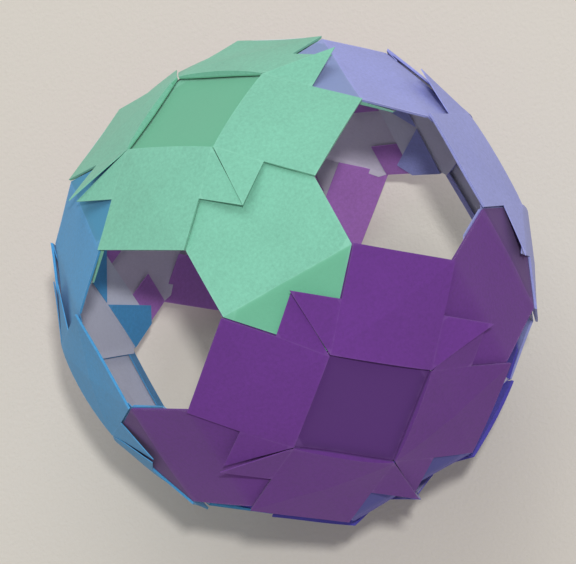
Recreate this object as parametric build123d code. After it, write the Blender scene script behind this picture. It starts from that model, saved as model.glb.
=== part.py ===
from build123d import *
from math import cos, radians, sin, sqrt
import os

# Paper ball of six folded square sheets.
# Every sheet has a sunken square with four square panels round it. Two opposite corners of the
# sheet run out flat as bridges and end in a right-angled tab. The other two are folded behind
# and make the pockets that the tabs of the neighbouring sheets slide into.

# Sizes of one sheet as folded, in millimetres and degrees
panel_side = 25.0
panel_tilt = 21.0
bridge_run = 17.2
pleat_depth = 10.5
hem_depth = 11.0
bridge_hem_depth = 8.0
back_flap_depth = 15.0
ear_side = 12.5
ear_slit = 0.25
corner_relief = 0.35

# Paper and the room between its layers
paper = 0.30
layer_gap = 0.12
tab_clearance = 0.25
tab_tip_clearance = 0.6

# Corner points of the ball, for the sheet whose sunken square faces up
half_diagonal = panel_side / sqrt(2)
panel_reach = half_diagonal * cos(radians(panel_tilt))
panel_drop = panel_side * sin(radians(panel_tilt))
outer_far = half_diagonal + panel_reach
outer_height = outer_far + bridge_run / sqrt(2)
well_height = outer_height + panel_drop
facet_height = (outer_far + outer_height) / sqrt(2)
ear_reach = ear_side * cos(radians(panel_tilt))
ear_drop = ear_side * sin(radians(panel_tilt))

# Depths of the stacked layers below the outermost one
pitch = paper + layer_gap
top_layer = 0.0
second_layer = pitch
third_layer = 2 * pitch


def well_corner(turn):
    return Vector(half_diagonal, 0, well_height).rotate(Axis.Z, 90 * turn)


def outer_corner(turn, side):
    return Vector(outer_far, side * panel_reach, outer_height).rotate(Axis.Z, 90 * turn)


def sunk(point, depth):
    """The point moved in towards the ball's centre, so that neighbouring layers keep meeting."""
    return point * (1 - depth / well_height)


def towards(start, end, length):
    return start + (end - start).normalized() * length


def middle(points):
    return sum(points[1:], points[0]) * (1 / len(points))


def plate(corners, depths, thickness=paper):
    """A flat piece of the given outline, with its outer face at one depth for each corner."""
    outer = [sunk(corner, depth) for corner, depth in zip(corners, depths)]
    inner = [sunk(corner, depth + thickness) for corner, depth in zip(corners, depths)]
    outer_outline = Wire.make_polygon(outer, close=True)
    inner_outline = Wire.make_polygon(inner, close=True)
    return Solid.make_loft([outer_outline, inner_outline], ruled=True)


def level_plate(corners, depth):
    return plate(corners, [depth] * len(corners))


def mitred(start, end, inside, depth, relief=0):
    """A strip along the edge, with its ends cut back at 45 degrees."""
    along = (end - start).normalized()
    offset = inside - start
    inward = (offset - along * offset.dot(along)).normalized()
    first = start + along * relief
    last = end - along * relief
    return [first, last, last + (inward - along) * depth, first + (inward + along) * depth]


def spine(start, end, inside, depths):
    """The turn of the paper at a fold, which joins one layer to the next below it."""
    along = (end - start).normalized()
    offset = inside - start
    inward = (offset - along * offset.dot(along)).normalized()
    fold = [start, end, end + inward * paper, start + inward * paper]
    return plate(fold, [*depths, *reversed(depths)], pitch + paper)


def fold_behind(flap, depths):
    """A flap turned behind the layer at the given depths, along the flap's first edge."""
    turn = spine(flap[0], flap[1], middle(flap), depths[:2])
    return [turn, plate(flap, [depth + pitch for depth in depths])]


def pleat(start, end, inside):
    """Two hidden layers under a panel, from its edge down to the layer beside it."""
    lower = mitred(start, end, inside, pleat_depth)
    upper = mitred(start, end, inside, pleat_depth, corner_relief)
    outer_turn = spine(upper[0], upper[1], inside, [top_layer] * 2)
    inner_turn = spine(upper[3], upper[2], start, [second_layer] * 2)
    return [outer_turn, inner_turn, level_plate(upper, second_layer), level_plate(lower, third_layer)]


def fused(pieces):
    return pieces[0].fuse(*pieces[1:])


def turned(solid, turn):
    return solid.rotate(Axis.Z, 90 * turn)


def panel():
    """One raised square panel with its three pleats and the hem on its window edge."""
    near = well_corner(0)
    far = well_corner(1)
    near_outer = outer_corner(0, 1)
    far_outer = outer_corner(1, -1)
    centre = middle([near, far, far_outer, near_outer])
    outline = [near_outer, towards(near, near_outer, corner_relief)]
    outline += [towards(near, far, corner_relief), towards(far, near, corner_relief)]
    outline += [towards(far, far_outer, corner_relief), far_outer]
    hem = mitred(far_outer, near_outer, centre, hem_depth, corner_relief)
    pieces = [level_plate(outline, top_layer)]
    pieces += pleat(near, far, centre)
    pieces += pleat(near_outer, near, centre)
    pieces += pleat(far, far_outer, centre)
    pieces += fold_behind(hem, [top_layer] * len(hem))
    return fused(pieces)


def corner_facet():
    """The triangle of paper under the ears, a pleat's depth lower than the panels beside it."""
    return level_plate([well_corner(0), outer_corner(0, -1), outer_corner(0, 1)], third_layer)


def ears(pressed):
    """The two right-angled ears over a corner. Each lies in the plane of the panel that it grows
    from, so they stand up to a ridge, unless they are pressed flat on the corner."""
    root = well_corner(0)
    left = towards(root, outer_corner(0, -1), ear_side)
    right = towards(root, outer_corner(0, 1), ear_side)
    apex = Vector(half_diagonal + sqrt(2) * ear_reach, 0, well_height - ear_drop)
    if pressed:
        apex = left + right - root
    pair = []
    for hinge_end in (left, right):
        start = towards(root, hinge_end, corner_relief)
        pair.append(level_plate([start, hinge_end, towards(apex, hinge_end, ear_slit)], top_layer))
    return pair


def bridge():
    """The flat strip that leaves under the ears, with its side hems, and the tab at its end."""
    left = outer_corner(0, -1)
    right = outer_corner(0, 1)
    crease_left = Vector(outer_height, -panel_reach, outer_far)
    crease_right = Vector(outer_height, panel_reach, outer_far)
    next_well_corner = Vector(well_height, 0, half_diagonal)
    end_left = towards(crease_left, crease_right, tab_clearance)
    end_right = towards(crease_right, crease_left, tab_clearance)
    tip = towards(next_well_corner, (crease_left + crease_right) * 0.5, tab_tip_clearance)
    pieces = [plate([left, right, end_right, end_left], [third_layer] * 2 + [second_layer] * 2)]
    pieces.append(level_plate([end_left, end_right, tip], second_layer))

    hem_depths = [third_layer, second_layer, (second_layer + third_layer) / 2]
    for start, end, across in ((left, end_left, 1), (right, end_right, -1)):
        half_way = (start + end) * 0.5
        inside = half_way + Vector(0, across * bridge_hem_depth, 0)
        stop = towards(end, start, tab_clearance)
        pieces += fold_behind([start, stop, inside], hem_depths)
    return pieces


def back_flap():
    """The rest of a pocket's corner of the sheet, folded behind along the window-side crease."""
    left = outer_corner(0, -1)
    right = outer_corner(0, 1)
    flap = mitred(right, left, well_corner(0), back_flap_depth)
    return fold_behind(flap, [third_layer] * len(flap))


def sheet(pressed_turn=None):
    """One folded sheet. The ears at the pressed turn lie flat, the others stand."""
    well = level_plate([well_corner(turn) for turn in range(4)], third_layer)
    one_panel = panel()
    corner = fused([corner_facet(), *back_flap()])
    tab_corner = fused([corner_facet(), *bridge()])
    pieces = [well]
    for turn in range(4):
        pieces.append(turned(one_panel, turn))
        pieces += [turned(ear, turn) for ear in ears(turn == pressed_turn)]
        pieces.append(turned(tab_corner if turn in (0, 2) else corner, turn))
    return fused(pieces)


# The six sheets of the ball: one third turn about a window's axis carries a sheet to the next
# pair of faces, and half a turn about an upright or level axis carries it to the other side.
# The ball's weight presses the ears flat at the two corners that it rests on.
window_axis = Axis((0, 0, 0), (1, 1, 1))
upright = sheet()
front = upright.rotate(window_axis, 120)
right_side = upright.rotate(window_axis, 240)
sheets = {
    "mint_sheet": upright,
    "violet_sheet": front,
    "lavender_sheet": right_side,
    "sky_sheet": right_side.rotate(Axis.Z, 180),
    "indigo_sheet": sheet(pressed_turn=2).rotate(Axis.X, 180),
    "orchid_sheet": sheet(pressed_turn=3).rotate(window_axis, 120).rotate(Axis.Z, 180),
}

# The ball rests on the bridge between the indigo and the orchid sheet
rest_plane = Plane(origin=(0, 0, 0), x_dir=(0, 1, 0), z_dir=(1, 0, 1))
os.makedirs("parts", exist_ok=True)
for name, solid in sheets.items():
    placed = rest_plane.to_local_coords(solid).moved(Location((0, 0, facet_height)))
    export_step(placed, f"parts/{name}.step")
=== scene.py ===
"""Looks of a paper ball folded from six square sheets of coloured paper.

One sheet is folded as single layers of paper. It is copied to its six places on the ball, and each
copy settles a little differently. Lengths are in metres.
"""

from math import cos, pi, radians, sin, sqrt
from random import Random

import bmesh
import bpy
from bpy.props import FloatProperty, FloatVectorProperty, IntProperty, PointerProperty
from mathutils import Matrix, Vector, noise


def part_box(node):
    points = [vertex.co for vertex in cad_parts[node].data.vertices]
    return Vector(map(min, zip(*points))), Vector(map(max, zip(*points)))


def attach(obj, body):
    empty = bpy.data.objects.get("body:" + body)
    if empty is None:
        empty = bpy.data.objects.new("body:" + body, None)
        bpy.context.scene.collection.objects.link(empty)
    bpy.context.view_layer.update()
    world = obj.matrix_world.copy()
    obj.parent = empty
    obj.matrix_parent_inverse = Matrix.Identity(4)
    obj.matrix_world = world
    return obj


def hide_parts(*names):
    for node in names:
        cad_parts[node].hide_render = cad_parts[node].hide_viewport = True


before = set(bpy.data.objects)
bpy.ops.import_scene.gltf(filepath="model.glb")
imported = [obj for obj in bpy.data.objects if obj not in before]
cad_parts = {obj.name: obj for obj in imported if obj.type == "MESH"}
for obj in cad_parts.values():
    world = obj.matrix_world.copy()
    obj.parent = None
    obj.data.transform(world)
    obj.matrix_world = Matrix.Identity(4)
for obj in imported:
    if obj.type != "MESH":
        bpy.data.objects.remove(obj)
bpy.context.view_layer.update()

bl_info = {
    "name": "Folded Paper Ball",
    "version": (1, 0, 0),
    "blender": (4, 5, 0),
    "location": "View3D > Sidebar > Paper Ball",
    "description": "Six folded square sheets that lock into a ball, each with its own paper",
    "category": "Add Mesh",
}

MM = 0.001
SHEET_OBJECT = "folded_sheet"

# The lavender sheet stands on its side, half above and half below the ball's middle
side_sheet_low, side_sheet_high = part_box("lavender_sheet")
ball_middle = Vector((0, 0, (side_sheet_low[2] + side_sheet_high[2]) / 2))

# A sheet's four corners are counted in quarter turns. Two run out as bridges that end in a tab,
# and the other two are the pockets
BRIDGE_TURNS = (0, 2)

# Vertices closer than this are one corner of the paper
SAME_PLACE = 0.01 * MM


class Layer:
    """Depths of the folded layers below the panels, in steps of the layer pitch."""
    UNDER_PANEL = 1
    SUNKEN = 2
    BRIDGE_HEM_END = 2.8
    TONGUE = 3.4
    TONGUE_HEM_MIDDLE = 3.8
    TONGUE_HEM_END = 4
    HEM_EDGE = 4.2


# How far the ends of a hem are cut back, as a share of its width. A bridge's hem is cut back
# further at the tab
HEM_CUT = 0.02
BRIDGE_HEM_TAB_CUT = 0.7

# Free corner of the hems at a tongue, as shares of the tongue's run
TONGUE_HEM_REACH = 1.37
TONGUE_HEM_WIDTH = 0.44

# Width of the hems at each sheet's windows, as a share of the full hem
HEM_SHARE = {
    "mint": 1, "violet": 1, "lavender": 0.3, "sky": 0.4, "indigo": 1, "orchid": 1.2,
}

# How far the ears at each sheet's four corners stand, from pressed flat (0) to level with their
# panels (1)
EAR_RISE = {
    "mint": (0.55, 1, 0.15, 1),
    "violet": (1, 0.9, 0.7, 0.8),
    "lavender": (0.75, 0.6, 0.75, 0.6),
    "sky": (0.4, 0.35, 0.3, 0.4),
    "indigo": (0.6, 0.8, 0, 0.7),
    "orchid": (0.7, 0.5, 0.8, 0),
}

# Gap at the root of an ear that lies on top, and slit between two ears that are pressed flat
TOP_EAR_GAP = 0.05 * MM
PRESSED_EAR_SLIT = 0.3 * MM

# Ranges in millimetres for the free corner of an ear: away from its hinge and off the ball for an
# ear on top, towards its hinge and into the ball for the ear below it
TOP_EAR_REACH = (0.5, 0.9)
TOP_EAR_LIFT = (0.4, 0.9)
LOW_EAR_REACH = (0.2, 0.6)
LOW_EAR_DROP = (0.7, 1.2)

# Range of a panel's crown, as a share of the full crown
CROWN_SHARE = (0.5, 1.3)

# Ranges in millimetres for the bow of a panel's edge at the sunken square and at the window, how
# fast the bow thins out to the edge's ends, and how fast it fades across the panel
WELL_BOW = (0.7, 1.2)
WINDOW_BOW = (-0.1, 0.4)
BOW_FALLOFF = 0.7
WELL_BOW_FADE = 2
WINDOW_BOW_FADE = 3

# Paper that bows with a panel: this share past its edges, and this far below and above it
BOW_OVERHANG = 0.01
BOW_BELOW = 0.2 * MM
BOW_ABOVE = 2 * MM

# Waves of the whole ball's paper. They fade out at the floor
BALL_RADIUS = 0.055
WAVE_LENGTH = 0.021
WAVE_HEIGHT = 0.55 * MM
WAVE_FADE_START = 1.5 * MM
WAVE_FADE_HEIGHT = 8 * MM

SMOOTH_ANGLE = radians(25)

# Wear and painted highlight of a light crease across a panel, with 1 for a fold or a cut edge
PANEL_CREASE_WEAR_AND_HIGHLIGHT = 0.55

# Strength of the paper's flecks, clouding and worn creases with their painted highlight on the two
# sides of a sheet
FRONT_FINISH = {"fleck": 0.5, "clouding": 0.18, "wear": 0.5}
BACK_FINISH = {"fleck": 0.2, "clouding": 0.1, "wear": 0.2}

# Share of the front's dye in the colour of the pale back
BACK_DYE = 0.15

# A worn crease with its painted highlight is lighter than the paper: this much times its colour,
# plus this much
WORN_AND_LIT_GAIN = 1.15
WORN_AND_LIT_LIFT = 0.05

# Painted shade on the sunken square and the tabs, which lie deeper or turn away from the light: a
# darker tint as a share of the colour for red, green and blue, and its strength
PAINTED_SHADE_TINT = (0.68, 0.84, 0.72)
PAINTED_SHADE_STRENGTH = 0.85

# The camera, from the photo: picture axes in the ball's frame, the distance to its middle and how
# far that middle lies right of and above the picture's middle
PICTURE_RIGHT = Vector((0.86886, -0.48271, -0.10984))
PICTURE_UP = Vector((0.49429, 0.85822, 0.13832))
TO_VIEWER = Vector((0.02749, -0.17448, 0.98428))
CAMERA_DISTANCE = 0.578
CAMERA_ASIDE = (0.00199, -0.00016)
CAMERA_LENS = 150.1
CAMERA_SENSOR = 36

# Lamps: where they stand by the picture axes (right, up and towards the viewer), distance from the
# ball's middle, size and tint
KEY_LAMP = {"stand": (0.035, 0.13, 1), "distance": 0.8, "size": 0.04, "tint": (1, 1, 1)}
FILL_LAMP = {"stand": (-0.2, 0.8, 0.6), "distance": 1.4, "size": 1.2, "tint": (0.93, 0.97, 1.0)}
EVEN_LIGHT_TINT = (0.98, 0.95, 0.94, 1)

FLOOR_SIDE = 3


# Sizes and colours

class SheetSizes(bpy.types.PropertyGroup):
    panel_side: FloatProperty(
        name="Panel side", description="Side of the sunken square and of each panel round it",
        default=25 * MM, unit="LENGTH")
    panel_tilt: FloatProperty(
        name="Panel tilt", description="How far each panel leans away from the sunken square",
        default=radians(21), subtype="ANGLE")
    bridge_run: FloatProperty(
        name="Bridge run", description="Length of the bridge between two sheets, along a window",
        default=17.2 * MM, unit="LENGTH")
    layer_pitch: FloatProperty(
        name="Layer pitch", description="Height from one folded layer to the next",
        default=0.52 * MM, unit="LENGTH")
    paper: FloatProperty(
        name="Paper", description="Thickness of the paper", default=0.22 * MM, unit="LENGTH")
    pleat_depth: FloatProperty(
        name="Pleat depth", description="How far the pleats at the sunken square run under panels",
        default=10.5 * MM, unit="LENGTH")
    side_pleat: FloatProperty(
        name="Side pleat", description="How far the pleats beside a corner run under the panels",
        default=1.6 * MM, unit="LENGTH")
    hem_depth: FloatProperty(
        name="Hem depth", description="Width of the full hem behind a window edge",
        default=11 * MM, unit="LENGTH")
    bridge_hem: FloatProperty(
        name="Bridge hem", description="Width of the hem behind each side of a bridge",
        default=10.5 * MM, unit="LENGTH")
    tongue_run: FloatProperty(
        name="Tongue run", description="How far a pocket's corner reaches behind the bridge",
        default=8.6 * MM, unit="LENGTH")
    ear_side: FloatProperty(
        name="Ear side", description="Short side of each ear over a corner",
        default=12.5 * MM, unit="LENGTH")
    panel_crown: FloatProperty(
        name="Panel crown", description="How far a panel's middle stands out",
        default=0.8 * MM, unit="LENGTH")
    fold_relief: FloatProperty(
        name="Fold relief", description="Gap left between layers where their corners meet",
        default=0.35 * MM, unit="LENGTH")
    grid_cuts: IntProperty(
        name="Grid cuts", description="Cuts across each face before the paper is warped",
        default=9)


class PaperColours(bpy.types.PropertyGroup):
    mint: FloatVectorProperty(
        name="Mint", description="Green sheet", default=(0.198, 0.520, 0.375), subtype="COLOR")
    violet: FloatVectorProperty(
        name="Violet", description="Deep violet sheet", default=(0.136, 0.031, 0.252),
        subtype="COLOR")
    lavender: FloatVectorProperty(
        name="Lavender", description="Pale blue-violet sheet", default=(0.310, 0.335, 0.700),
        subtype="COLOR")
    sky: FloatVectorProperty(
        name="Sky", description="Blue sheet", default=(0.068, 0.325, 0.630), subtype="COLOR")
    indigo: FloatVectorProperty(
        name="Indigo", description="Dark blue sheet", default=(0.075, 0.060, 0.420),
        subtype="COLOR")
    orchid: FloatVectorProperty(
        name="Orchid", description="Red-violet sheet", default=(0.440, 0.180, 0.570),
        subtype="COLOR")
    reverse: FloatVectorProperty(
        name="Reverse", description="Pale back of every sheet", default=(0.720, 0.700, 0.780),
        subtype="COLOR")


class StageLook(bpy.types.PropertyGroup):
    floor: FloatVectorProperty(
        name="Floor", description="Pale surface under the ball", default=(0.682, 0.642, 0.575),
        subtype="COLOR")
    key_power: FloatProperty(
        name="Key power", description="Strength of the small lamp near the camera", default=2.85)
    fill_power: FloatProperty(
        name="Fill power", description="Strength of the wide lamp past the picture's top edge",
        default=7.4)
    sky_strength: FloatProperty(
        name="Sky strength", description="Strength of the even light", default=0.41)


# Corner points of one sheet

class SheetShape:
    """Corner points from the sizes, with the ball's middle as origin and the sunken square up.

    A turn picks one of the four corners of the sunken square. A side of 1 or -1 picks the panel
    after or before that corner. The panel of a turn lies between that corner and the next.
    """

    def __init__(self, sizes):
        self.sizes = sizes
        self.half_diagonal = sizes.panel_side / sqrt(2)
        self.reach = self.half_diagonal * cos(sizes.panel_tilt)
        self.outer_far = self.half_diagonal + self.reach
        self.outer_height = self.outer_far + sizes.bridge_run / sqrt(2)
        self.well_height = self.outer_height + sizes.panel_side * sin(sizes.panel_tilt)

    def sunk(self, point, layer):
        """The point moved in towards the ball's middle, so that neighbouring layers still meet."""
        return point * (1 - layer * self.sizes.layer_pitch / self.well_height)

    def all_sunk(self, points, layer):
        return [self.sunk(point, layer) for point in points]

    def turned(self, point, turn):
        return Matrix.Rotation(turn * pi / 2, 3, "Z") @ point

    def well_corner(self, turn):
        return self.turned(Vector((self.half_diagonal, 0, self.well_height)), turn)

    def outer_corner(self, turn, side):
        """Where a panel, a corner's facet and a window meet."""
        return self.turned(Vector((self.outer_far, side * self.reach, self.outer_height)), turn)

    def crease_corner(self, turn, side):
        """End of the crease between a bridge and its tab."""
        return self.turned(Vector((self.outer_height, side * self.reach, self.outer_far)), turn)

    def next_well_corner(self, turn):
        """Corner of the next sheet's sunken square, which the tab points at."""
        return self.turned(Vector((self.well_height, 0, self.half_diagonal)), turn)

    def panel_corners(self, turn):
        return [self.well_corner(turn), self.well_corner(turn + 1),
                self.outer_corner(turn, 1), self.outer_corner(turn + 1, -1)]

    def panel_centre(self, turn):
        return sum(self.panel_corners(turn), Vector()) / 4

    def panel_normal(self, turn):
        """Direction off the ball, square to the panel."""
        near, far, near_outer, _ = self.panel_corners(turn)
        normal = (far - near).cross(near_outer - near).normalized()
        return normal if normal.dot(near) > 0 else -normal

    def hem_corners(self, turn, depth):
        """Inner corners of the hem behind a panel's window edge, in the panel's plane."""
        _, _, near_outer, far_outer = self.panel_corners(turn)
        centre = self.panel_centre(turn)
        return mitred(near_outer, far_outer, centre, depth, self.sizes.fold_relief, HEM_CUT)

    def lies_over(self, turn, side):
        """Two opposite panels have both their ears on top, the other two have them below."""
        return (turn + (side - 1) // 2) % 2 == 0

    def panel_root(self, turn, side):
        """Where the panel on one side of a corner begins, beside the sunken square."""
        gap = TOP_EAR_GAP if self.lies_over(turn, side) else self.sizes.fold_relief
        return towards(self.well_corner(turn), self.well_corner(turn + side), gap)

    def ear_hinge(self, turn, side):
        """Far end of the hinge on which an ear stands."""
        return towards(self.well_corner(turn), self.outer_corner(turn, side), self.sizes.ear_side)

    def ear_tip(self, turn):
        """Where the planes of the two panels beside a corner meet, above the ears' hinges."""
        reach = self.sizes.ear_side * cos(self.sizes.panel_tilt)
        drop = self.sizes.ear_side * sin(self.sizes.panel_tilt)
        tip = Vector((self.half_diagonal + sqrt(2) * reach, 0, self.well_height - drop))
        return self.turned(tip, turn)


def towards(start, end, length):
    return start + (end - start).normalized() * length


def mitred(start, end, inside, depth, relief, cut=1):
    """Far corners of a strip along an edge, with ends cut back, at 45 degrees for a cut of 1."""
    along = (end - start).normalized()
    offset = inside - start
    inward = (offset - along * offset.dot(along)).normalized()
    first = start + along * (relief + cut * depth) + inward * depth
    last = end - along * (relief + cut * depth) + inward * depth
    return first, last


# Work on the mesh in edit mode

def deselect_objects():
    for chosen in bpy.context.selected_objects:
        chosen.select_set(False)


def choose_vertices(piece, wanted):
    """Selects the given vertices alone, and the edges and faces that they bound."""
    bpy.ops.mesh.select_all(action="DESELECT")
    mesh = bmesh.from_edit_mesh(piece.data)
    mesh.verts.ensure_lookup_table()
    for index in wanted:
        mesh.verts[index].select = True
    mesh.select_flush(True)
    bmesh.update_edit_mesh(piece.data)


def vertex_at(piece, place):
    """The vertex nearest to a place."""
    mesh = bmesh.from_edit_mesh(piece.data)
    mesh.verts.index_update()
    return min(mesh.verts, key=lambda vertex: (vertex.co - place).length).index


def move_corner(piece, index, target):
    choose_vertices(piece, [index])
    mesh = bmesh.from_edit_mesh(piece.data)
    mesh.verts.ensure_lookup_table()
    bpy.ops.transform.translate(value=target - mesh.verts[index].co)


def grow(piece, edge, targets):
    """Extrudes the edge between two vertices and moves its new corners to the targets."""
    choose_vertices(piece, edge)
    bpy.ops.mesh.extrude_edges_move()
    mesh = bmesh.from_edit_mesh(piece.data)
    mesh.verts.index_update()
    mesh.verts.ensure_lookup_table()
    new = {vertex.index for vertex in mesh.verts if vertex.select}
    partners = []
    for index in edge:
        old = mesh.verts[index]
        linked = [link.other_vert(old).index for link in old.link_edges]
        partners.append(next(other for other in linked if other in new))
    for index, target in zip(partners, targets):
        move_corner(piece, index, target)
    return partners


def add_flat(piece, corners):
    """Adds a plane and moves its four corners to the given points, in order round the plane."""
    bpy.ops.mesh.primitive_plane_add(size=MM)
    mesh = bmesh.from_edit_mesh(piece.data)
    plane = next(face for face in mesh.faces if face.select)
    ring = [vertex.index for vertex in plane.verts]
    for index, target in zip(ring, corners):
        move_corner(piece, index, target)
    return ring


def split_edge(piece, start, end, place):
    """Adds a vertex on the edge between two vertices and moves it to the place."""
    choose_vertices(piece, [start, end])
    bpy.ops.mesh.subdivide(number_cuts=1)
    mesh = bmesh.from_edit_mesh(piece.data)
    new = next(vertex.index for vertex in mesh.verts
               if vertex.select and vertex.index not in (start, end))
    move_corner(piece, new, place)
    return new


def poke_panel(piece, corners):
    """Creases a panel from corner to corner through its middle."""
    choose_vertices(piece, corners)
    bpy.ops.mesh.poke()


# One folded sheet

def fold_panel_side(piece, shape, well_edge, turn):
    """From the sunken square: pleat, raised panel and hem, then the pleats at the panel's sides."""
    sizes = shape.sizes
    near, far, near_outer, far_outer = shape.panel_corners(turn)
    centre = shape.panel_centre(turn)

    deep = mitred(near, far, centre, sizes.pleat_depth, sizes.fold_relief)
    edge = grow(piece, well_edge, shape.all_sunk(deep, Layer.SUNKEN))
    edge = grow(piece, edge, shape.all_sunk(deep, Layer.UNDER_PANEL))
    roots = [shape.panel_root(turn, 1), shape.panel_root(turn + 1, -1)]
    edge = grow(piece, edge, shape.all_sunk(roots, Layer.UNDER_PANEL))
    edge = grow(piece, edge, roots)
    outer = grow(piece, edge, [near_outer, far_outer])
    poke_panel(piece, [edge[0], edge[1], outer[1], outer[0]])

    hem = shape.hem_corners(turn, sizes.hem_depth)
    under = grow(piece, outer, shape.all_sunk([near_outer, far_outer], Layer.UNDER_PANEL))
    grow(piece, under, shape.all_sunk(hem, Layer.HEM_EDGE))

    for root_index, outer_index, root, end in (
            (edge[0], outer[0], near, near_outer), (edge[1], outer[1], far, far_outer)):
        hinge = towards(root, end, sizes.ear_side)
        split = split_edge(piece, root_index, outer_index, hinge)
        ends = shape.all_sunk([hinge, end], Layer.UNDER_PANEL)
        under = grow(piece, [split, outer_index], ends)
        pleat = mitred(root, end, centre, sizes.side_pleat, sizes.fold_relief)
        grow(piece, under, shape.all_sunk(pleat, Layer.UNDER_PANEL))


def fold_corner_facet(piece, shape, turn, crease_edge):
    """The triangle under the ears, with the layers that run from it under both panels."""
    sizes = shape.sizes
    root = shape.well_corner(turn)
    outer = [shape.outer_corner(turn, -1), shape.outer_corner(turn, 1)]
    tip = [towards(root, corner, sizes.fold_relief) for corner in outer]
    tip_edge = grow(piece, crease_edge, shape.all_sunk(tip, Layer.SUNKEN))
    for index, panel in ((0, turn - 1), (1, turn)):
        centre = shape.panel_centre(panel)
        pleat = mitred(outer[index], tip[index], centre, sizes.side_pleat, sizes.fold_relief)
        grow(piece, [crease_edge[index], tip_edge[index]], shape.all_sunk(pleat, Layer.SUNKEN))


def fold_bridge(piece, shape, turn):
    """Bridge, its side hems and the tab, with the corner facet that they leave from."""
    sizes = shape.sizes
    relief = sizes.fold_relief
    left, right = shape.outer_corner(turn, -1), shape.outer_corner(turn, 1)
    far_left, far_right = shape.crease_corner(turn, -1), shape.crease_corner(turn, 1)
    end_left = towards(far_left, far_right, relief)
    end_right = towards(far_right, far_left, relief)
    ring = add_flat(piece, [*shape.all_sunk([right, left], Layer.SUNKEN),
                            *shape.all_sunk([end_left, end_right], Layer.UNDER_PANEL)])

    crease_middle = (far_left + far_right) / 2
    tip = towards(shape.next_well_corner(turn), crease_middle, 2 * relief)
    tab = [towards(tip, far_left, relief), towards(tip, far_right, relief)]
    grow(piece, [ring[2], ring[3]], shape.all_sunk(tab, Layer.UNDER_PANEL))
    fold_corner_facet(piece, shape, turn, [ring[1], ring[0]])

    # The bridge rises by one layer on its way to the tab. Its side hems start one layer below it
    across = (right - left).normalized()
    for start, end, near, far, inward in (
            (ring[1], ring[2], left, end_left, across),
            (ring[0], ring[3], right, end_right, -across)):
        stop = towards(far, near, relief)
        under = grow(piece, [start, end], [shape.sunk(near, Layer.SUNKEN + 1),
                                           shape.sunk(stop, Layer.UNDER_PANEL + 1)])
        along = (stop - near).normalized()
        first = near + (inward + along * HEM_CUT) * sizes.bridge_hem
        last = stop + (inward - along * BRIDGE_HEM_TAB_CUT) * sizes.bridge_hem
        grow(piece, under, [shape.sunk(first, Layer.HEM_EDGE),
                            shape.sunk(last, Layer.BRIDGE_HEM_END)])


def fold_pocket(piece, shape, turn):
    """The corner that a tab lies on, with the tongue behind the bridge and its two wide hems."""
    relief, run = shape.sizes.fold_relief, shape.sizes.tongue_run
    left, right = shape.outer_corner(turn, -1), shape.outer_corner(turn, 1)
    root = shape.well_corner(turn)
    inner_left, inner_right = towards(left, root, relief), towards(right, root, relief)
    ring = add_flat(piece, shape.all_sunk([inner_right, inner_left, left, right], Layer.SUNKEN))
    fold_corner_facet(piece, shape, turn, [ring[1], ring[0]])

    along = (shape.crease_corner(turn, 1) - right).normalized()
    ends = [left + along * run, right + along * run]
    tongue = grow(piece, [ring[2], ring[3]], shape.all_sunk(ends, Layer.TONGUE))
    middle = (left + right) / 2
    for start, end, near in ((ring[2], tongue[0], left), (ring[3], tongue[1], right)):
        under = grow(piece, [start, end], [shape.sunk(near, Layer.TONGUE),
                                           shape.sunk(near + along * run, Layer.TONGUE_HEM_END)])
        inward = (middle - near).normalized()
        first = towards(middle, near, relief)
        last = near + along * TONGUE_HEM_REACH * run + inward * TONGUE_HEM_WIDTH * run
        grow(piece, under, [shape.sunk(first, Layer.TONGUE_HEM_MIDDLE),
                            shape.sunk(last, Layer.HEM_EDGE)])


def fold_ears(piece, shape, turn):
    """Two right-angled ears over a corner. Each carries on the plane of its own panel."""
    for side in (-1, 1):
        root = shape.panel_root(turn, side)
        hinge = [vertex_at(piece, root), vertex_at(piece, shape.ear_hinge(turn, side))]
        grow(piece, hinge, [root, shape.ear_tip(turn)])


def close_ear_roots(piece, shape):
    """Draws each ear to a point at its root, where it grew from the panel as a strip."""
    bpy.ops.mesh.select_all(action="DESELECT")
    mesh = bmesh.from_edit_mesh(piece.data)
    for turn in range(4):
        for side in (-1, 1):
            root = shape.panel_root(turn, side)
            for vertex in mesh.verts:
                if (vertex.co - root).length < SAME_PLACE:
                    vertex.select = True
    bmesh.update_edit_mesh(piece.data)
    bpy.ops.mesh.remove_doubles(threshold=SAME_PLACE)


def mark_creases(piece, shape):
    """Marks folds and cut edges as seams, and the light creases across each panel as sharp."""
    bpy.ops.mesh.select_all(action="SELECT")
    bpy.ops.mesh.mark_seam()

    # The paper runs on flat from a corner's facet to its bridge
    for turn in BRIDGE_TURNS:
        ends = shape.all_sunk([shape.outer_corner(turn, side) for side in (-1, 1)], Layer.SUNKEN)
        choose_vertices(piece, [vertex_at(piece, end) for end in ends])
        bpy.ops.mesh.mark_seam(clear=True)

    for turn in range(4):
        centre = vertex_at(piece, shape.panel_centre(turn))
        bpy.ops.mesh.select_all(action="DESELECT")
        mesh = bmesh.from_edit_mesh(piece.data)
        mesh.verts.ensure_lookup_table()
        for edge in mesh.verts[centre].link_edges:
            edge.select = True
        bmesh.update_edit_mesh(piece.data)
        bpy.ops.mesh.mark_seam(clear=True)

        # The edges from the middle to the ears' hinges only divide the panel
        hinges = [shape.ear_hinge(turn, 1), shape.ear_hinge(turn + 1, -1)]
        mesh = bmesh.from_edit_mesh(piece.data)
        for edge in mesh.edges:
            gaps = [(vertex.co - hinge).length for vertex in edge.verts for hinge in hinges]
            if edge.select and min(gaps) < SAME_PLACE:
                edge.select = False
        bmesh.update_edit_mesh(piece.data)
        bpy.ops.mesh.mark_sharp()


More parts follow.
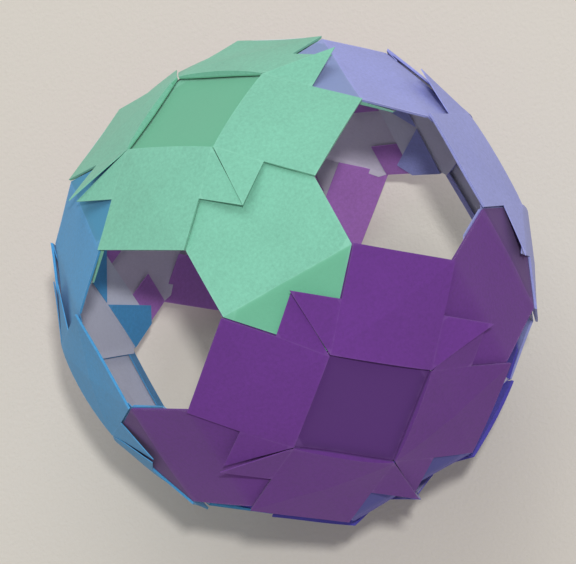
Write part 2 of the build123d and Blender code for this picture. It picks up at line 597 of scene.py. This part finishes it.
def fold_sheet(sizes):
    """The whole folded sheet as one mesh of single paper layers, its coloured side in front."""
    shape = SheetShape(sizes)
    well_height = shape.well_height - Layer.SUNKEN * sizes.layer_pitch
    well_side = sizes.panel_side * well_height / shape.well_height
    deselect_objects()
    bpy.ops.mesh.primitive_plane_add(
        size=well_side, location=(0, 0, well_height), rotation=(0, 0, pi / 4))
    piece = bpy.context.object
    piece.name = SHEET_OBJECT
    bpy.ops.object.transform_apply(location=True, rotation=True, scale=True)

    bpy.ops.object.mode_set(mode="EDIT")
    bpy.ops.mesh.select_mode(type="VERT")
    well = [vertex_at(piece, shape.sunk(shape.well_corner(turn), Layer.SUNKEN))
            for turn in range(4)]
    for turn in range(4):
        fold_panel_side(piece, shape, [well[turn], well[(turn + 1) % 4]], turn)
    for turn in range(4):
        fold_corner = fold_bridge if turn in BRIDGE_TURNS else fold_pocket
        fold_corner(piece, shape, turn)
    for turn in range(4):
        fold_ears(piece, shape, turn)
    close_ear_roots(piece, shape)
    mark_creases(piece, shape)
    bpy.ops.object.mode_set(mode="OBJECT")


# Each copy of the sheet

def settle_sheet(piece, shape, rise, hem_share, unevenness):
    """Lifts the panels' middles and gives hems and ears their own lie, in edit mode."""
    sizes = shape.sizes
    hem_layer = Layer.UNDER_PANEL + (Layer.HEM_EDGE - Layer.UNDER_PANEL) * hem_share
    for turn in range(4):
        centre = shape.panel_centre(turn)
        crown = sizes.panel_crown * unevenness.uniform(*CROWN_SHARE)
        move_corner(piece, vertex_at(piece, centre), centre + shape.panel_normal(turn) * crown)
        full_hem = shape.hem_corners(turn, sizes.hem_depth)
        own_hem = shape.hem_corners(turn, sizes.hem_depth * hem_share)
        for full, own in zip(full_hem, own_hem):
            index = vertex_at(piece, shape.sunk(full, Layer.HEM_EDGE))
            move_corner(piece, index, shape.sunk(own, hem_layer))
    for turn in range(4):
        for side in (-1, 1):
            tip = vertex_at(piece, shape.ear_tip(turn))
            move_corner(piece, tip, ear_lie(shape, turn, side, rise[turn], unevenness))


def ear_lie(shape, turn, side, rise, unevenness):
    """Where an ear's free corner lies, from pressed flat (0) to level with its panel (1)."""
    root, hinge_end = shape.well_corner(turn), shape.ear_hinge(turn, side)
    outward = root.normalized()
    flat = shape.ear_hinge(turn, -1) + shape.ear_hinge(turn, 1) - root
    flat = towards(flat, hinge_end, PRESSED_EAR_SLIT)
    if not rise:
        return flat
    tip = flat.lerp(shape.ear_tip(turn), rise)
    away = (tip - hinge_end).normalized()
    if shape.lies_over(turn, side):
        reach, lift = unevenness.uniform(*TOP_EAR_REACH), unevenness.uniform(*TOP_EAR_LIFT)
        return tip + (away * reach + outward * lift) * MM
    reach, drop = unevenness.uniform(*LOW_EAR_REACH), unevenness.uniform(*LOW_EAR_DROP)
    return tip - (away * reach + outward * drop * rise) * MM


def divide_faces(sizes):
    """Divides every face in edit mode, ready for the warp of the paper."""
    bpy.ops.mesh.select_all(action="SELECT")
    bpy.ops.mesh.subdivide(number_cuts=sizes.grid_cuts)


def bow_panels(piece, shape, unevenness):
    """Bows each panel's edge at the sunken square, and a little its window edge, off the ball."""
    panels = []
    for turn in range(4):
        near, far, near_outer, _ = shape.panel_corners(turn)
        well_bow, window_bow = unevenness.uniform(*WELL_BOW), unevenness.uniform(*WINDOW_BOW)
        panels.append((near, far - near, near_outer - near, shape.panel_normal(turn),
                       well_bow * MM, window_bow * MM))
    for vertex in piece.data.vertices:
        for near, along, across, normal, well_bow, window_bow in panels:
            offset = vertex.co - near
            u = offset.dot(along) / along.length_squared
            v = offset.dot(across) / across.length_squared
            beside = 0 < u < 1 and -BOW_OVERHANG < v < 1 + BOW_OVERHANG
            if beside and -BOW_BELOW < offset.dot(normal) < BOW_ABOVE:
                swell = sin(pi * u) ** BOW_FALLOFF
                at_well = well_bow * max(0, 1 - v) ** WELL_BOW_FADE
                at_window = window_bow * min(1, v) ** WINDOW_BOW_FADE
                vertex.co += normal * swell * (at_well + at_window)
                break


def note_painted_shade(piece, shape):
    """Marks the sunken square and the tabs for painted shade, as they lie deeper or turn away from
    the light.
    """
    thin = piece.data.attributes.new("thin", "FLOAT", "FACE")
    crease = shape.sunk(shape.crease_corner(0, 1), Layer.UNDER_PANEL).x
    values = []
    for face in piece.data.polygons:
        across, along = abs(face.center.x), abs(face.center.y)
        in_well = across + along < shape.half_diagonal
        on_tab = across > crease
        values.append(1.0 if in_well or on_tab else 0.0)
    thin.data.foreach_set("value", values)


def warp_paper(piece):
    """Small waves along the ball's surface. All layers at one place move together."""
    for vertex in piece.data.vertices:
        outward = (vertex.co - ball_middle).normalized()
        swell = noise.noise(outward * BALL_RADIUS / WAVE_LENGTH)
        fade = min(1.0, max(0.0, (vertex.co.z - WAVE_FADE_START) / WAVE_FADE_HEIGHT))
        vertex.co += outward * swell * WAVE_HEIGHT * fade


def note_creases(piece):
    """Stores how near each vertex is to a crease, for the worn lines of the paper with their
    painted highlight.
    """
    mesh = piece.data
    crease = mesh.attributes.new("crease", "FLOAT", "POINT")
    values = [0.0] * len(mesh.vertices)
    for edge in mesh.edges:
        wear = 1.0 if edge.use_seam else PANEL_CREASE_WEAR_AND_HIGHLIGHT if edge.use_edge_sharp else 0.0
        for index in edge.vertices:
            values[index] = max(values[index], wear)
    crease.data.foreach_set("value", values)


def thicken(piece, sizes):
    """Gives the active sheet its paper thickness, with the pale reverse on the back alone."""
    solid = piece.modifiers.new("paper thickness", "SOLIDIFY")
    solid.thickness = sizes.paper
    solid.offset = -1
    solid.material_offset = 1
    solid.material_offset_rim = 0
    bpy.ops.object.modifier_apply(modifier=solid.name)
    bpy.ops.object.shade_smooth_by_angle(angle=SMOOTH_ANGLE, keep_sharp_edges=True)


# Materials

def set_inputs(tree, node, values):
    """Gives each named input its constant, or links it to the output that is given instead."""
    for name, value in values.items():
        if isinstance(value, bpy.types.NodeSocket):
            tree.links.new(value, node.inputs[name])
        else:
            node.inputs[name].default_value = value


def add_node(tree, kind, values=None, **settings):
    node = tree.nodes.new(kind)
    for name, setting in settings.items():
        setattr(node, name, setting)
    set_inputs(tree, node, values or {})
    return node


def add_math(tree, operation, *values):
    node = add_node(tree, "ShaderNodeMath", dict(enumerate(values)), operation=operation)
    return node.outputs["Value"]


def add_noise(tree, values):
    """Noise in Object coordinates."""
    places = add_node(tree, "ShaderNodeTexCoord").outputs["Object"]
    return add_node(tree, "ShaderNodeTexNoise", {"Vector": places, **values}).outputs["Fac"]


def new_group(name, inputs, outputs):
    group = bpy.data.node_groups.new(name, "ShaderNodeTree")
    for label, kind, value in inputs:
        socket = group.interface.new_socket(label, in_out="INPUT", socket_type=kind)
        socket.default_value = value
    for label, kind in outputs:
        group.interface.new_socket(label, in_out="OUTPUT", socket_type=kind)
    return group, group.nodes.new("NodeGroupInput"), group.nodes.new("NodeGroupOutput")


def paper_fibre_group():
    """Flecks of fibre, soft clouding of the dye, and the height and roughness of the fibre."""
    group, start, end = new_group(
        "Paper Fibre",
        [("Colour", "NodeSocketColor", (1, 1, 1, 1)),
         ("Clouding", "NodeSocketFloat", 0.1),
         ("Fleck", "NodeSocketFloat", 0.1)],
        [("Colour", "NodeSocketColor"),
         ("Height", "NodeSocketFloat"),
         ("Roughness", "NodeSocketFloat")])
    fleck, clouding = start.outputs["Fleck"], start.outputs["Clouding"]
    fine = add_noise(group, {"Scale": 1300, "Detail": 4, "Roughness": 0.7})
    broad = add_noise(group, {"Scale": 70, "Detail": 3})

    # Brightness of the dye: both noises swing about their middle, so it stays about 1 on average
    flecked = add_math(group, "MULTIPLY_ADD", fine, fleck, 1)
    clouded = add_math(group, "MULTIPLY_ADD", broad, clouding, flecked)
    half_clouding = add_math(group, "MULTIPLY", clouding, 0.5)
    middle = add_math(group, "MULTIPLY_ADD", fleck, 0.5, half_clouding)
    level = add_math(group, "SUBTRACT", clouded, middle)
    dyed = add_node(group, "ShaderNodeVectorMath", {0: start.outputs["Colour"], "Scale": level},
                    operation="SCALE")
    rough = add_node(group, "ShaderNodeMapRange", {"Value": fine, "To Min": 0.72, "To Max": 0.95})
    set_inputs(group, end, {"Colour": dyed.outputs["Vector"], "Height": fine,
                            "Roughness": rough.outputs["Result"]})
    return group


def crease_wear_and_highlight_group():
    """Thin uneven lighter lines along folds and cut edges, partly where the dye has rubbed off and
    partly a painted highlight where the folds catch the light.
    """
    group, start, end = new_group(
        "Crease Wear",
        [("Fineness", "NodeSocketFloat", 8.0), ("Amount", "NodeSocketFloat", 0.5)],
        [("Mask", "NodeSocketFloat")])
    nearness = add_node(group, "ShaderNodeAttribute", attribute_name="crease").outputs["Fac"]
    line = add_math(group, "POWER", nearness, start.outputs["Fineness"])
    patches = add_noise(group, {"Scale": 260, "Detail": 4})
    uneven = add_node(group, "ShaderNodeMapRange", {
        "Value": patches, "From Min": 0.38, "From Max": 0.62, "To Min": 0.25})
    worn_and_lit = add_math(group, "MULTIPLY", line, uneven.outputs["Result"])
    mask = add_math(group, "MULTIPLY", worn_and_lit, start.outputs["Amount"])
    set_inputs(group, end, {"Mask": mask})
    return group


def new_material(name):
    material = bpy.data.materials.new(name)
    material.use_nodes = True
    return material, material.node_tree, material.node_tree.nodes["Principled BSDF"]


def paper_material(name, colour, groups, fleck, clouding, wear):
    """Paper of one colour, with painted shade on the sunken square and the tabs, and its creases
    painted lighter for wear and a painted highlight.
    """
    material, tree, shader = new_material(name)
    fibre = add_node(tree, "ShaderNodeGroup", {
        "Colour": (*colour, 1), "Fleck": fleck, "Clouding": clouding,
    }, node_tree=groups["fibre"])
    # Painted shade: the sunken square and the tabs are darkened towards a shaded tint of the colour
    thin = add_node(tree, "ShaderNodeAttribute", attribute_name="thin").outputs["Fac"]
    shaded = add_node(tree, "ShaderNodeMix", {
        "Factor": add_math(tree, "MULTIPLY", thin, PAINTED_SHADE_STRENGTH),
        "A": fibre.outputs["Colour"],
        "B": (*[part * shade for part, shade in zip(colour, PAINTED_SHADE_TINT)], 1),
    }, data_type="RGBA")
    # Painted highlight and wear: creases are lightened towards a brighter colour
    rubbed_and_lit = add_node(tree, "ShaderNodeGroup", {"Amount": wear}, node_tree=groups["wear"])
    worn_and_lit = add_node(tree, "ShaderNodeMix", {
        "Factor": rubbed_and_lit.outputs["Mask"],
        "A": shaded.outputs["Result"],
        "B": (*[WORN_AND_LIT_GAIN * part + WORN_AND_LIT_LIFT for part in colour], 1),
    }, data_type="RGBA")
    bump = add_node(tree, "ShaderNodeBump", {
        "Strength": 0.4, "Distance": 0.12 * MM, "Height": fibre.outputs["Height"]})
    set_inputs(tree, shader, {
        "Base Color": worn_and_lit.outputs["Result"],
        "Roughness": fibre.outputs["Roughness"],
        "Specular IOR Level": 0.25,
        "Sheen Weight": 0.12,
        "Sheen Roughness": 0.6,
        "Normal": bump.outputs["Normal"],
    })
    return material


def floor_material(colour):
    material, tree, shader = new_material("pale floor")
    grain = add_noise(tree, {"Scale": 900, "Detail": 3})
    bump = add_node(tree, "ShaderNodeBump", {
        "Strength": 0.6, "Distance": 0.3 * MM, "Height": grain})
    set_inputs(tree, shader, {
        "Base Color": (*colour, 1),
        "Roughness": 0.9,
        "Specular IOR Level": 0.1,
        "Normal": bump.outputs["Normal"],
    })
    return material


# Places of the sheets, camera and light

def sheet_places():
    """Turns that carry the upright sheet to its place on the ball, as it rests."""
    slope = 1 / sqrt(2)
    to_rest = Matrix(((0, 1, 0), (-slope, 0, slope), (slope, 0, slope))).to_4x4()
    rest = Matrix.Translation(ball_middle) @ to_rest
    window_axis = Vector((1, 1, 1))
    third = Matrix.Rotation(2 * pi / 3, 4, window_axis)
    two_thirds = Matrix.Rotation(4 * pi / 3, 4, window_axis)
    half_upright = Matrix.Rotation(pi, 4, "Z")
    half_level = Matrix.Rotation(pi, 4, "X")
    return {
        "mint": rest,
        "violet": rest @ third,
        "lavender": rest @ two_thirds,
        "sky": rest @ half_upright @ two_thirds,
        "indigo": rest @ half_level,
        "orchid": rest @ half_upright @ third,
    }


def add_camera(scene):
    axes = Matrix((PICTURE_RIGHT, PICTURE_UP, TO_VIEWER)).transposed()
    place = ball_middle + TO_VIEWER * CAMERA_DISTANCE
    place -= PICTURE_RIGHT * CAMERA_ASIDE[0] + PICTURE_UP * CAMERA_ASIDE[1]
    data = bpy.data.cameras.new("camera")
    data.lens = CAMERA_LENS
    data.sensor_width = CAMERA_SENSOR
    camera = bpy.data.objects.new("camera", data)
    scene.collection.objects.link(camera)
    camera.matrix_world = Matrix.Translation(place) @ axes.to_4x4()
    scene.camera = camera


def add_lamp(scene, name, power, stand, distance, size, tint):
    """A round soft lamp that looks at the ball's middle."""
    data = bpy.data.lights.new(name, "AREA")
    data.shape = "DISK"
    data.size = size
    data.energy = power
    data.color = tint
    lamp = bpy.data.objects.new(name, data)
    scene.collection.objects.link(lamp)
    right, up, near = stand
    outward = (TO_VIEWER * near + PICTURE_UP * up + PICTURE_RIGHT * right).normalized()
    lamp.location = ball_middle + outward * distance
    lamp.rotation_euler = outward.to_track_quat("Z", "Y").to_euler()


def add_even_light(scene, strength):
    world = bpy.data.worlds.new("even light")
    world.use_nodes = True
    background = world.node_tree.nodes["Background"]
    background.inputs["Color"].default_value = EVEN_LIGHT_TINT
    background.inputs["Strength"].default_value = strength
    scene.world = world


# Operators and panel

class PAPERBALL_OT_fold_sheet(bpy.types.Operator):
    """Fold one sheet: sunken square, pleats, panels, hems, bridges, tabs, pockets and ears"""
    bl_idname = "paperball.fold_sheet"
    bl_label = "Fold Sheet"

    def execute(self, context):
        fold_sheet(context.scene.sheet_sizes)
        return {"FINISHED"}


class PAPERBALL_OT_place_sheets(bpy.types.Operator):
    """Copy the folded sheet to its six places, warp and thicken each copy and give it its paper"""
    bl_idname = "paperball.place_sheets"
    bl_label = "Place Sheets"

    def execute(self, context):
        sizes = context.scene.sheet_sizes
        colours = context.scene.paper_colours
        master = bpy.data.objects[SHEET_OBJECT]
        shape = SheetShape(sizes)
        groups = {"fibre": paper_fibre_group(), "wear": crease_wear_and_highlight_group()}
        for name, place in sheet_places().items():
            deselect_objects()
            master.select_set(True)
            context.view_layer.objects.active = master
            bpy.ops.object.duplicate()
            piece = context.object
            piece.name = f"{name}_paper_sheet"

            bpy.ops.object.mode_set(mode="EDIT")
            settle_sheet(piece, shape, EAR_RISE[name], HEM_SHARE[name], Random(f"{name} sheet"))
            divide_faces(sizes)
            bpy.ops.object.mode_set(mode="OBJECT")
            bow_panels(piece, shape, Random(f"{name} bow"))
            note_painted_shade(piece, shape)
            piece.matrix_world = place
            bpy.ops.object.transform_apply(location=True, rotation=True, scale=True)
            warp_paper(piece)
            note_creases(piece)

            front = getattr(colours, name)
            back = [(1 - BACK_DYE) * pale + BACK_DYE * dye
                    for pale, dye in zip(colours.reverse, front)]
            piece.data.materials.append(
                paper_material(f"{name} paper", front, groups, **FRONT_FINISH))
            piece.data.materials.append(
                paper_material(f"{name} paper reverse", back, groups, **BACK_FINISH))
            thicken(piece, sizes)
            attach(piece, "root")
            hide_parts(f"{name}_sheet")
        bpy.data.objects.remove(master)
        return {"FINISHED"}


class PAPERBALL_OT_stage(bpy.types.Operator):
    """Set the floor, the camera, the lamps and the even light"""
    bl_idname = "paperball.stage"
    bl_label = "Set Stage"

    def execute(self, context):
        scene = context.scene
        look = scene.stage_look
        scene.view_settings.view_transform = "Standard"

        deselect_objects()
        bpy.ops.mesh.primitive_plane_add(size=FLOOR_SIDE, location=(0, 0, 0))
        floor = context.object
        floor.name = "floor"
        floor.data.materials.append(floor_material(look.floor))

        add_camera(scene)
        add_lamp(scene, "key", look.key_power, **KEY_LAMP)
        add_lamp(scene, "fill", look.fill_power, **FILL_LAMP)
        add_even_light(scene, look.sky_strength)
        return {"FINISHED"}


OPERATORS = (PAPERBALL_OT_fold_sheet, PAPERBALL_OT_place_sheets, PAPERBALL_OT_stage)


class PAPERBALL_PT_panel(bpy.types.Panel):
    """Sizes, colours and light of the paper ball, with the steps that build it"""
    bl_idname = "PAPERBALL_PT_panel"
    bl_label = "Paper Ball"
    bl_space_type = "VIEW_3D"
    bl_region_type = "UI"
    bl_category = "Paper Ball"

    def draw(self, context):
        layout = self.layout
        scene = context.scene
        for group in (scene.sheet_sizes, scene.paper_colours, scene.stage_look):
            box = layout.box()
            for name in group.bl_rna.properties.keys():
                if name not in ("rna_type", "name"):
                    box.prop(group, name)
        for operator in OPERATORS:
            layout.operator(operator.bl_idname)


CLASSES = (SheetSizes, PaperColours, StageLook, *OPERATORS, PAPERBALL_PT_panel)


def register():
    for kind in CLASSES:
        bpy.utils.register_class(kind)
    bpy.types.Scene.sheet_sizes = PointerProperty(type=SheetSizes)
    bpy.types.Scene.paper_colours = PointerProperty(type=PaperColours)
    bpy.types.Scene.stage_look = PointerProperty(type=StageLook)


def unregister():
    del bpy.types.Scene.stage_look
    del bpy.types.Scene.paper_colours
    del bpy.types.Scene.sheet_sizes
    for kind in reversed(CLASSES):
        bpy.utils.unregister_class(kind)


def main():
    register()
    bpy.ops.paperball.fold_sheet()
    bpy.ops.paperball.place_sheets()
    bpy.ops.paperball.stage()


if __name__ == "__main__":
    main()
